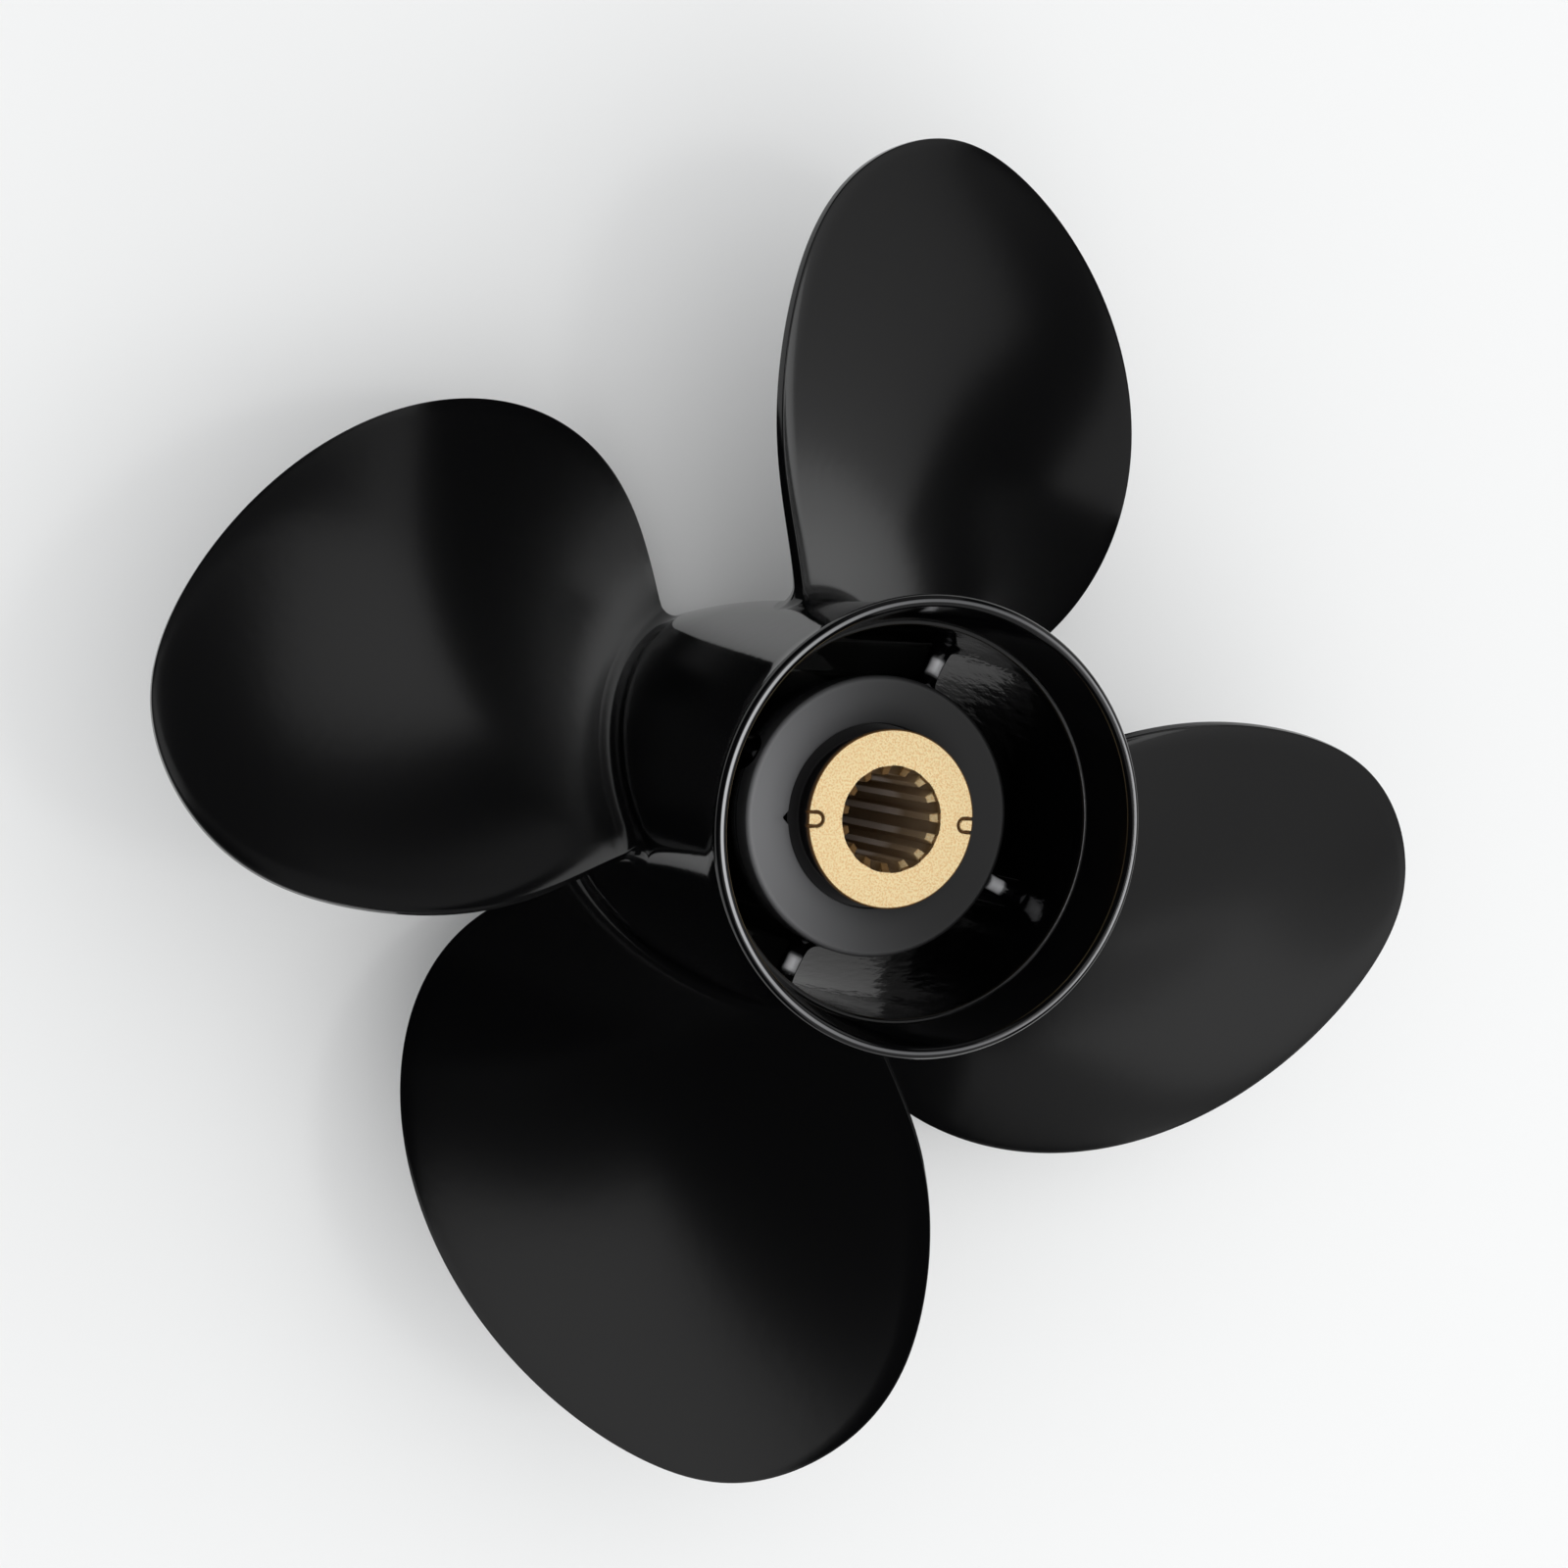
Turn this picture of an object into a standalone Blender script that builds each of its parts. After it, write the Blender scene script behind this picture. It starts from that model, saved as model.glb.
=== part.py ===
"""A four-bladed propeller for an outboard motor, with its exhaust led out through the hub.

The real propeller is one aluminium casting, painted black, with a rubber bushing and a
splined brass sleeve pressed into it. The casting is modelled as its natural parts (barrel,
flared ring, hub tube, ribs and blades), which keep a hairline gap to each other, so that
every exhaust passage stays open.

It stands on the fore rim of its barrel, with the shaft axis on +Z and the trailing end on
top. Seen from the trailing end it drives forward when it turns clockwise (right hand).
"""

import math

import bmesh
import bpy
import numpy as np

# Driving dimensions, in metres and degrees. Heights are measured from the fore rim.
TIP_RADIUS = 0.1778  # 14 in across the tips
OVERALL_LENGTH = 0.148
BLADES = 4
GAP = 0.0003  # between pieces that touch

BARREL_RADIUS = 0.0543  # the usual 4 1/4 in hub
BARREL_FORE_RADIUS = 0.0518
BORE_RADIUS = 0.0488
RING_FOOT = 0.1315  # height of the shoulder where the flared ring starts
RING_THROAT_RADIUS = 0.0493
LIP_RADIUS = 0.0548  # crest of the rounded lip
LIP_BEAD = 0.0016
FLARE_FOOT = 0.134
FLARE_RISE = 0.0017

HUB_RADIUS = 0.0358
HUB_BORE_RADIUS = 0.0300
HUB_MOUTH_RADIUS = 0.0236
HUB_FORE = 0.004
HUB_FACE = 0.1137  # the rim of the dished aft face
HUB_DISH_DEPTH = 0.0027  # from the rim down to the mouth's edge
HUB_LIP_THICKNESS = 0.008
NOTCH_ANGLE = 187.0  # a small V notch in the hub's mouth
NOTCH_HALF_WIDTH = 3.0
NOTCH_DEPTH = 0.0012

RIB_THICKNESS = 0.0052
RIB_FORE = 0.009
RIB_AFT = 0.1048
RIB_ANGLE = 70.0  # the first rib lies under the middle of the first blade's root

BUSHING_FORE = 0.010
BUSHING_FLOOR = 0.1097  # rubber seen inside the mouth of the hub
COLLAR_RADIUS = 0.0203
COLLAR_TOP = 0.1201

SLEEVE_FORE = 0.0025
SLEEVE_FACE = 0.1215
SLEEVE_RADIUS = 0.0175
FLANGE_RADIUS = 0.0226
SPLINE_TEETH = 15  # for a 1 in shaft
SPLINE_TURN = 7.2  # angle of the first tooth's middle
SPLINE_ROOT_RADIUS = 0.0129
SPLINE_TIP_RADIUS = 0.0112
SPLINE_MOUTH_RADIUS = 0.01315
SPLINE_MOUTH_DEPTH = 0.0019  # the teeth are coned back at the mouth
LUG_ANGLES = (1.7, 185.9)
LUG_RADIUS = 0.0207
LUG_SLOT_TURN = 5.6  # degrees from the lug's middle to the slot on each side
LUG_SLOT_DEPTH = 0.0008
LUG_SLOT_HALF_LENGTH = 0.0030
LUG_SLOT_HALF_WIDTH = 0.0004

CAST_ROUND = 0.0012  # rounding of the casting's edges
CHAMFER = 0.0004
LEAD_IN = 0.0020

# The blade, drawn up like a propeller designer's table. Each quantity is given at equal
# steps of span, from the barrel (first) to the tip (last).
HALF_WIDTH = (37.3, 40.5, 41.4, 39.9, 36.5, 26.6)  # degrees, before the outline rounds off
SKEW = (70.7, 70.3, 71.7, 74.6, 79.6, 85.7)  # degrees, angle of the mid-chord line
MID_HEIGHT = (0.0476, 0.0536, 0.0617, 0.0710, 0.0806, 0.0889)
PITCH = (0.348, 0.352, 0.348, 0.338, 0.327, 0.317)  # advance in one turn
MAX_THICKNESS = (0.0125, 0.0103, 0.0085, 0.0067, 0.0049, 0.0024)
EDGE_THICKNESS = 0.0024
FACE_HOLLOW = 0.018  # depth of the driving face's hollow, as a share of the chord
EDGE_ROUNDING = 0.18  # share of the dome's height over which the edge rounds off
ROOT_FILLET = 0.0065

TURN_STEPS = 72
BLADE_ROWS = 20
FILLET_ROWS = (0.0, 0.12, 0.42, 1.0)  # heights of the lowest rows, as shares of the fillet
BLADE_POINTS = 36
ROOT_CAP_SHARES = (0.25, 0.5, 0.75)  # extra lines across the root's cap, which is curved


def clear_scene():
    for item in list(bpy.data.objects):
        bpy.data.objects.remove(item, do_unlink=True)


def new_collection(name):
    collection = bpy.data.collections.new(name)
    bpy.context.scene.collection.children.link(collection)
    return collection


def new_material(name, colour, roughness, metallic):
    material = bpy.data.materials.new(name)
    material.use_nodes = True
    shader = material.node_tree.nodes["Principled BSDF"]
    shader.inputs["Base Color"].default_value = (*colour, 1.0)
    shader.inputs["Roughness"].default_value = roughness
    shader.inputs["Metallic"].default_value = metallic
    material.diffuse_color = (*colour, 1.0)
    return material


def new_object(name, mesh, collection, material=None):
    item = bpy.data.objects.new(name, mesh)
    collection.objects.link(item)
    if material:
        mesh.materials.append(material)
    return item


def turned(name, profile, collection, material, steps=TURN_STEPS):
    """A closed outline of (radius, height), outer side first and downwards, turned about Z."""
    mesh = bpy.data.meshes.new(name)
    points = [(radius, 0.0, height) for radius, height in profile]
    edges = [(i, (i + 1) % len(points)) for i in range(len(points))]
    mesh.from_pydata(points, edges, [])
    item = new_object(name, mesh, collection, material)
    screw = item.modifiers.new("Turn", "SCREW")
    screw.steps = steps
    screw.render_steps = steps
    screw.use_merge_vertices = True
    screw.merge_threshold = 0.00001
    screw.use_smooth_shade = True
    return item


def prism(name, outline, low, high, collection, material=None):
    """A flat outline of (x, y) points, drawn as a curve and raised from low to high."""
    curve = bpy.data.curves.new(name, "CURVE")
    curve.dimensions = "2D"
    curve.fill_mode = "BOTH"
    curve.extrude = (high - low) / 2
    spline = curve.splines.new("POLY")
    spline.points.add(len(outline) - 1)
    for point, (x, y) in zip(spline.points, outline):
        point.co = (x, y, 0.0, 1.0)
    spline.use_cyclic_u = True
    drawn = bpy.data.objects.new(name + "_outline", curve)
    collection.objects.link(drawn)
    drawn.location.z = (high + low) / 2
    bpy.context.view_layer.update()
    graph = bpy.context.evaluated_depsgraph_get()
    mesh = bpy.data.meshes.new_from_object(drawn.evaluated_get(graph))
    mesh.name = name
    shape = bmesh.new()
    shape.from_mesh(mesh)
    bmesh.ops.remove_doubles(shape, verts=shape.verts, dist=0.000001)
    bmesh.ops.recalc_face_normals(shape, faces=shape.faces)
    shape.to_mesh(mesh)
    shape.free()
    item = new_object(name, mesh, collection, material)
    item.matrix_world = drawn.matrix_world
    bpy.data.objects.remove(drawn, do_unlink=True)
    return item


def hide_cutter(cutter):
    cutter.hide_render = True
    cutter.display_type = "WIRE"


def cut(item, cutter):
    hide_cutter(cutter)
    step = item.modifiers.new("Cut", "BOOLEAN")
    step.operation = "DIFFERENCE"
    step.solver = "EXACT"
    step.object = cutter


def polar(radius, degrees):
    angle = math.radians(degrees)
    return radius * math.cos(angle), radius * math.sin(angle)


def barrel_radius(height):
    """Outer radius of the barrel: a slight taper over the fore third, then straight."""
    taper = np.clip(1.0 - np.asarray(height) / 0.050, 0.0, 1.0)
    return BARREL_RADIUS - (BARREL_RADIUS - BARREL_FORE_RADIUS) * taper**2


def make_barrel(parts, paint):
    top = RING_FOOT - GAP
    heights = (top, 0.090, 0.045, 0.030, 0.018, 0.009, CAST_ROUND)
    outer = [(float(barrel_radius(h)), h) for h in heights]
    rim = [(BARREL_FORE_RADIUS - CAST_ROUND, 0.0), (BORE_RADIUS + CHAMFER, 0.0)]
    inner = [(BORE_RADIUS, CAST_ROUND), (BORE_RADIUS, top)]
    return turned("exhaust_barrel", outer + rim + inner, parts, paint)


def flare_radius(height, bead_height):
    """Outer radius of the ring: straight to the flare's foot, then out along a parabola."""
    share = max(height - FLARE_FOOT, 0.0) / (bead_height - FLARE_FOOT)
    return BARREL_RADIUS + FLARE_RISE * share**2


def make_ring(parts, paint):
    """The flared trailing ring: straight foot, curved flare, rounded lip and a coned throat."""
    bead_height = OVERALL_LENGTH - LIP_BEAD
    lip = []
    for degrees in (150, 120, 90, 60, 30, 0):
        across, up = polar(LIP_BEAD, degrees)
        lip.append((LIP_RADIUS + across, bead_height + up))
    foot = RING_FOOT
    heights = (0.1435, 0.1400, 0.1370, FLARE_FOOT, foot)
    flare = [(flare_radius(h, bead_height), h) for h in heights]
    throat = [(RING_THROAT_RADIUS, foot), (RING_THROAT_RADIUS + CHAMFER, foot + LEAD_IN)]
    return turned("flared_ring", lip + flare + throat, parts, paint)


def make_hub(parts, cutters, paint):
    """The inner tube: it holds the bushing, and its aft end turns in to a dished annulus."""
    face = HUB_FACE
    edge = face - HUB_DISH_DEPTH
    under = face - HUB_LIP_THICKNESS
    profile = [
        (HUB_MOUTH_RADIUS + CHAMFER, edge),
        (HUB_RADIUS - CAST_ROUND, face),
        (HUB_RADIUS - 0.3 * CAST_ROUND, face - 0.3 * CAST_ROUND),
        (HUB_RADIUS, face - CAST_ROUND),
        (HUB_RADIUS, HUB_FORE + CAST_ROUND),
        (HUB_RADIUS - CAST_ROUND, HUB_FORE),
        (HUB_BORE_RADIUS, HUB_FORE),
        (HUB_BORE_RADIUS, under),
        (HUB_MOUTH_RADIUS, under),
        (HUB_MOUTH_RADIUS, edge - CHAMFER),
    ]
    hub = turned("inner_hub", profile, parts, paint)
    inside = HUB_MOUTH_RADIUS - 0.001
    notch = [
        polar(inside, NOTCH_ANGLE - NOTCH_HALF_WIDTH),
        polar(HUB_MOUTH_RADIUS + NOTCH_DEPTH, NOTCH_ANGLE),
        polar(inside, NOTCH_ANGLE + NOTCH_HALF_WIDTH),
    ]
    cut(hub, prism("hub_notch_cutter", notch, under - 0.002, face + 0.002, cutters))
    return hub


def make_rib(number, parts, paint):
    """One web between the hub and the barrel, its ends following both round walls."""
    inner = HUB_RADIUS + GAP
    outer = BORE_RADIUS - GAP
    angle = RIB_ANGLE + 360.0 / BLADES * number
    half_in = math.degrees(math.asin(RIB_THICKNESS / 2 / inner))
    half_out = math.degrees(math.asin(RIB_THICKNESS / 2 / outer))
    outline = [polar(inner, angle + half_in * side) for side in (1, 0, -1)]
    outline += [polar(outer, angle + half_out * side) for side in (-1, 0, 1)]
    return prism(f"rib_{number + 1}", outline, RIB_FORE, RIB_AFT, parts, paint)


def make_bushing(parts, rubber):
    """The rubber bushing, stopped by the hub's lip, with a collar out through its mouth."""
    shoulder = HUB_FACE - HUB_LIP_THICKNESS - GAP
    mouth = HUB_MOUTH_RADIUS - GAP
    body = HUB_BORE_RADIUS - GAP
    bore = SLEEVE_RADIUS + GAP
    profile = [
        (COLLAR_RADIUS, COLLAR_TOP - GAP),
        (COLLAR_RADIUS, BUSHING_FLOOR),
        (mouth, BUSHING_FLOOR),
        (mouth, shoulder),
        (body, shoulder),
        (body, BUSHING_FORE + LEAD_IN),
        (body - LEAD_IN, BUSHING_FORE),
        (bore, BUSHING_FORE),
        (bore, COLLAR_TOP - GAP),
    ]
    return turned("rubber_bushing", profile, parts, rubber)


def spline_outline():
    """The shape of the shaft's spline: a groove for each tooth, with slanted flanks."""
    inside = SPLINE_TIP_RADIUS - 0.0006
    pitch = 360.0 / SPLINE_TEETH
    outline = []
    for tooth in range(SPLINE_TEETH):
        middle = SPLINE_TURN + pitch * (tooth + 0.5)
        outline.append(polar(inside, middle - 0.32 * pitch))
        outline.append(polar(SPLINE_ROOT_RADIUS, middle - 0.24 * pitch))
        outline.append(polar(SPLINE_ROOT_RADIUS, middle))
        outline.append(polar(SPLINE_ROOT_RADIUS, middle + 0.24 * pitch))
        outline.append(polar(inside, middle + 0.32 * pitch))
    return outline


def turned_rectangle(middle, half_along, half_across, degrees):
    """Corners of a rectangle whose long side points away from the axis."""
    angle = math.radians(degrees)
    corners = []
    for along, across in ((-1, -1), (1, -1), (1, 1), (-1, 1)):
        out = middle + along * half_along
        side = across * half_across
        x = out * math.cos(angle) - side * math.sin(angle)
        y = out * math.sin(angle) + side * math.cos(angle)
        corners.append((x, y))
    return corners


def make_sleeve(parts, cutters, brass):
    """The brass sleeve: flange, body, spline bore, and two notched lugs in its aft face."""
    face = SLEEVE_FACE
    profile = [
        (SPLINE_MOUTH_RADIUS, face),
        (FLANGE_RADIUS - CHAMFER, face),
        (FLANGE_RADIUS, face - CHAMFER),
        (FLANGE_RADIUS, COLLAR_TOP),
        (SLEEVE_RADIUS, COLLAR_TOP),
        (SLEEVE_RADIUS, SLEEVE_FORE + CAST_ROUND),
        (SLEEVE_RADIUS - CAST_ROUND, SLEEVE_FORE),
        (SPLINE_ROOT_RADIUS + CHAMFER, SLEEVE_FORE),
        (SPLINE_TIP_RADIUS, SLEEVE_FORE + LEAD_IN),
        (SPLINE_TIP_RADIUS, face - SPLINE_MOUTH_DEPTH),
    ]
    sleeve = turned("splined_sleeve", profile, parts, brass, 60)
    spline = prism("spline_cutter", spline_outline(), -0.005, face + 0.005, cutters)
    cut(sleeve, spline)
    for number, degrees in enumerate(LUG_ANGLES):
        # A slot open to the rim on each side of the lug leaves the lug standing between them.
        for side in (-1, 1):
            turn = degrees + side * LUG_SLOT_TURN
            size = (LUG_SLOT_HALF_LENGTH, LUG_SLOT_HALF_WIDTH)
            corners = turned_rectangle(LUG_RADIUS, *size, turn)
            name = f"lug_slot_cutter_{number + 1}_{'left' if side < 0 else 'right'}"
            cut(sleeve, prism(name, corners, face - LUG_SLOT_DEPTH, face + 0.002, cutters))
    return sleeve


def along_span(table, span):
    """A smooth curve through a table given at equal steps of span."""
    steps = np.linspace(0.0, 1.0, len(table))
    return np.polyval(np.polyfit(steps, table, len(table) - 1), span)


def blade_sections():
    """Grids of radius, angle and height round one blade's skin, a row for each section.

    The skin is laid out on a unit dome: the span is the sine of a step up the blade, and
    the place on the chord is the cosine of a turn round the section, 1 at the trailing edge
    and -1 at the leading edge. So the points crowd towards the edge, and the dome's height
    says how near the edge a point is. Each section is the pitch helix, hollowed a little on
    its driving face, with its thickness laid on the other side.
    """
    reach = TIP_RADIUS - BARREL_RADIUS
    fillet = np.arcsin(np.array(FILLET_ROWS) * ROOT_FILLET / reach)
    above = np.linspace(fillet[-1], np.pi / 2, BLADE_ROWS - len(fillet) + 1)[1:]
    lift = np.concatenate([fillet, above])[:, None]
    turn = np.linspace(0.0, 2 * np.pi, BLADE_POINTS, endpoint=False)[None, :]
    span = np.sin(lift)
    place = np.cos(turn)
    dome = np.cos(lift) * np.sin(turn)
    radius = BARREL_RADIUS + reach * span + 0 * turn
    half = np.radians(along_span(HALF_WIDTH, span)) * np.cos(lift)
    pitch = along_span(PITCH, span)
    slope = np.arctan2(pitch, 2 * np.pi * radius)

    bulge = 1 - place**2
    full = EDGE_THICKNESS + (along_span(MAX_THICKNESS, span) - EDGE_THICKNESS) * bulge
    hollow = FACE_HOLLOW * 2 * half * radius * bulge
    near = np.minimum(np.abs(dome) / EDGE_ROUNDING, 1.0)
    rounded = near * np.sqrt(2 - near**2)
    off = np.sign(dome) * full / 2 * rounded - (full - EDGE_THICKNESS) / 2 - hollow

    across = radius * (np.radians(along_span(SKEW, span)) + half * place) - off * np.sin(slope)
    height = along_span(MID_HEIGHT, span) + pitch * half * place / (2 * np.pi) + off * np.cos(slope)
    return spread_root(radius, across, height, span)


def spread_root(radius, across, height, span):
    """Widen the lowest rows by a quarter round, so that the root runs out onto the barrel."""
    left = np.maximum(ROOT_FILLET - (radius - BARREL_RADIUS), 0.0)
    widen = ROOT_FILLET - np.sqrt(ROOT_FILLET**2 - left**2)
    step_across = np.roll(across, -1, axis=1) - np.roll(across, 1, axis=1)
    step_up = np.roll(height, -1, axis=1) - np.roll(height, 1, axis=1)
    length = np.maximum(np.hypot(step_across, step_up), 1e-9)
    angle = (across + widen * step_up / length) / radius
    height = height - widen * step_across / length
    foot = barrel_radius(height) + GAP
    return foot + (TIP_RADIUS - foot) * span, angle, height


def blade_points(radius, angle, height):
    return np.stack([radius * np.cos(angle), radius * np.sin(angle), height], axis=-1)


def make_blade_mesh(paint):
    """One blade as a single closed skin: rows of points, a tip point and a root cap."""
    radius, angle, height = blade_sections()
    rows = blade_points(radius, angle, height)[:-1].reshape(-1, 3)
    tip = blade_points(radius, angle, height)[-1].mean(axis=0)[None, :]
    half = BLADE_POINTS // 2
    root = slice(1, half)
    back = -np.arange(1, half)
    caps = []
    for share in ROOT_CAP_SHARES:
        cap_angle = angle[0, root] * (1 - share) + angle[0, back] * share
        cap_height = height[0, root] * (1 - share) + height[0, back] * share
        caps.append(blade_points(barrel_radius(cap_height) + GAP, cap_angle, cap_height))
    points = np.concatenate([rows, tip, *caps])

    faces = []
    count = BLADE_POINTS
    tip_index = len(rows)
    for i in range(count):
        following = (i + 1) % count
        for row in range(BLADE_ROWS - 2):
            low, high = row * count, (row + 1) * count
            faces.append((low + i, high + i, high + following, low + following))
        last = (BLADE_ROWS - 2) * count
        faces.append((last + i, tip_index, last + following))

    def cap_index(line, i):
        """The point at chord step i on one of the lines across the root, edges included."""
        if i in (0, half) or line == 0:
            return i
        if line == len(ROOT_CAP_SHARES) + 1:
            return count - i
        return tip_index + 1 + (line - 1) * (half - 1) + i - 1

    for line in range(len(ROOT_CAP_SHARES) + 1):
        for i in range(half):
            corners = [cap_index(line, i), cap_index(line, i + 1)]
            corners += [cap_index(line + 1, i + 1), cap_index(line + 1, i)]
            faces.append(tuple(dict.fromkeys(corners)))

    mesh = bpy.data.meshes.new("blade")
    mesh.from_pydata(points.tolist(), [], faces)
    shape = bmesh.new()
    shape.from_mesh(mesh)
    bmesh.ops.recalc_face_normals(shape, faces=shape.faces)
    shape.to_mesh(mesh)
    shape.free()
    mesh.shade_smooth()
    mesh.set_sharp_from_angle(angle=math.radians(50))
    mesh.materials.append(paint)
    return mesh


def make_blades(parts, paint):
    mesh = make_blade_mesh(paint)
    for number in range(BLADES):
        blade = bpy.data.objects.new(f"blade_{number + 1}", mesh)
        blade.rotation_euler.z = 2 * math.pi / BLADES * number
        parts.objects.link(blade)


def main():
    clear_scene()
    parts = new_collection("outboard_propeller")
    cutters = new_collection("cutters")
    paint = new_material("gloss_black_paint", (0.006, 0.006, 0.007), 0.16, 0.0)
    satin = new_material("satin_black_paint", (0.010, 0.010, 0.011), 0.32, 0.0)
    rubber = new_material("black_rubber", (0.012, 0.012, 0.012), 0.6, 0.0)
    brass = new_material("cast_brass", (0.74, 0.53, 0.24), 0.38, 1.0)
    make_barrel(parts, paint)
    make_ring(parts, paint)
    make_hub(parts, cutters, paint)
    for number in range(BLADES):
        make_rib(number, parts, paint)
    make_bushing(parts, rubber)
    make_sleeve(parts, cutters, brass)
    make_blades(parts, satin)


main()
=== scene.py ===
# %% [markdown]
# A boat propeller for an outboard motor: four raked blades on a round exhaust barrel, a flared
# ring at its trailing end, and inside it a hub tube, four ribs, a rubber bushing and a splined
# brass sleeve. The solids that carry its sizes are loaded first. Every piece below is then a
# fine skin over one of them, worked out from a few formulas, so that gloss black paint has
# truly smooth curves to reflect the studio in.

import math

import bmesh
import bpy
import numpy as np
from mathutils import Euler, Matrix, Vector


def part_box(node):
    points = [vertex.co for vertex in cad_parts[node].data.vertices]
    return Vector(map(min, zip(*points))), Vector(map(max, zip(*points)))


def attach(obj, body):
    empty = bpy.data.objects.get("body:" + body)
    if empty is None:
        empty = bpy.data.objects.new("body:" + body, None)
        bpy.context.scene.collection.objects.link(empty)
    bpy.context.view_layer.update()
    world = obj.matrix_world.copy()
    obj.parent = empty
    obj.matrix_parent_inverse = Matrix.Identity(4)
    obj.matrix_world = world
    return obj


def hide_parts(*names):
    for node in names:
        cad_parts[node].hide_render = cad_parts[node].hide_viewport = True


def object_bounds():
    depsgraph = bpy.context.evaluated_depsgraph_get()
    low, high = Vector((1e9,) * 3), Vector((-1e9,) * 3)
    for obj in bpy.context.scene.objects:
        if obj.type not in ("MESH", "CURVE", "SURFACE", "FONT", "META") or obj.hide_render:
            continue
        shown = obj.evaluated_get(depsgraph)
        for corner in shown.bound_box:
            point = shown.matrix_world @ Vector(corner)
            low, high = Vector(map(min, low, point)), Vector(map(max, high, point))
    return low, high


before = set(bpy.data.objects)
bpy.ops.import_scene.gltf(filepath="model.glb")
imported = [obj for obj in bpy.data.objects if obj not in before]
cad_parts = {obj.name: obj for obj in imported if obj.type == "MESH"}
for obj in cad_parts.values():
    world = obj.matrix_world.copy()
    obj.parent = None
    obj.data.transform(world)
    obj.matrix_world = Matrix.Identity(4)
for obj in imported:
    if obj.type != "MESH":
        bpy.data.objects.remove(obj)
cad_low, cad_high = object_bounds()
print("solids:", sorted(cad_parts))

# %% [markdown]
# Sizes are in metres and degrees. What a solid's box can give is read from it, so that the skins
# follow the solids. The others are the casting's own sizes, named where they are first needed.

# %% Sizes
MM = 0.001
LENGTH = cad_high.z
BLADES = 4  # and as many ribs
CAST_ROUND = 1.2 * MM  # the round that a mould leaves on an outer corner
print(f"length {LENGTH:.4f} m, across the tips {cad_high.x - cad_low.x:.4f} m")

# %% [markdown]
# Every skin is a grid of points: rows along one parameter and columns along another, worked out
# as whole arrays. Blender's modelling tools could draw the same forms, but a formula is exact and
# easy to change. The faces are the quads between neighbouring points. Which way they look is
# found from the volume that they enclose, which is negative when they look inwards.


# %% Faces of a grid
def quads(rows, columns, wrap_rows):
    """Corner numbers of the quads between neighbouring points; columns always close."""
    number = np.arange(rows * columns).reshape(rows, columns)
    number = np.concatenate([number, number[:, :1]], axis=1)
    if wrap_rows:
        number = np.concatenate([number, number[:1]], axis=0)
    ring = [number[:-1, :-1], number[:-1, 1:], number[1:, 1:], number[1:, :-1]]
    return np.stack(ring, axis=-1).reshape(-1, 4)


def signed_volume(points, faces):
    """Sum of the tetrahedra from the origin to each quad's two triangles."""
    a, b, c, d = (points[faces[:, i]] for i in range(4))
    return (np.cross(a, b) * c).sum() / 6 + (np.cross(a, c) * d).sum() / 6


print("a strip of 2 rows and 4 columns has", len(quads(2, 4, wrap_rows=False)), "quads")

# %% [markdown]
# A skin closes at its ends where the points of a row fall together, so the doubles are merged. It
# is simpler than sewing each cap by hand, and it can't leave a hole. A skin may carry masks, which
# are numbers stored at its points for the materials to read. It prints how far it reaches, where a
# point gone wrong would show. Each skin also says which solid it stands for, so that the plain
# solid is hidden under it.


# %% Closed skins
def add_object(name, data):
    """An object with that data, linked to the scene."""
    thing = bpy.data.objects.new(name, data)
    bpy.context.scene.collection.objects.link(thing)
    return thing


def skin(name, grid, wrap_rows, sharp=40, masks=None):
    """A closed mesh object from a grid of points (rows, columns, 3), with masks per point."""
    rows, columns = grid.shape[:2]
    points = grid.reshape(-1, 3)
    faces = quads(rows, columns, wrap_rows)
    if signed_volume(points, faces) < 0:
        faces = faces[:, ::-1]
    mesh = bpy.data.meshes.new(name)
    mesh.from_pydata(points.tolist(), [], faces.tolist())
    for mask_name, values in (masks or {}).items():
        attribute = mesh.attributes.new(mask_name, "FLOAT", "POINT")
        flat = np.broadcast_to(values, (rows, columns)).astype(np.float32)
        attribute.data.foreach_set("value", flat.ravel())
    shape = bmesh.new()
    shape.from_mesh(mesh)
    bmesh.ops.remove_doubles(shape, verts=shape.verts, dist=1e-7)
    shape.to_mesh(mesh)
    shape.free()
    mesh.shade_smooth()
    mesh.set_sharp_from_angle(angle=math.radians(sharp))
    piece = add_object(name, mesh)
    print(f"{name}: {len(mesh.polygons)} faces, reaches {np.abs(points).max():.4f} m")
    return piece


def stands_for(piece, slot, material, *nodes):
    """The skin takes its finish, rides on the one rigid body and hides the solids under it."""
    piece.data.materials.append(material)
    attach(piece, "root")
    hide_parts(*nodes)


# %% [markdown]
# The camera comes before any surface, because the paint's look is judged through it. Its place
# and its lens were found by matching the round rims and the four blade outlines: it looks down
# on the trailing end from about 25 degrees beside the shaft axis. A small shift keeps the
# propeller left of the picture's middle, as in the photograph.

# %% Camera
CAMERA_PLACE = (-0.2730, 0.0197, 0.7274)
CAMERA_TURN = (-3.943, -25.135, 8.206)  # degrees
LENS = 60.99  # millimetres
SHIFT = (-0.1078, -0.0101)


def make_camera():
    """A camera at that place and turn, the lens shifted by that share of the picture."""
    data = bpy.data.cameras.new("camera")
    data.lens = LENS
    data.shift_x, data.shift_y = SHIFT
    data.clip_start = 0.01
    camera = add_object("camera", data)
    camera.location = CAMERA_PLACE
    camera.rotation_euler = [math.radians(turn) for turn in CAMERA_TURN]
    bpy.context.scene.camera = camera
    return camera


camera = make_camera()
print(f"camera distance: {camera.location.length:.3f} m")

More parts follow.
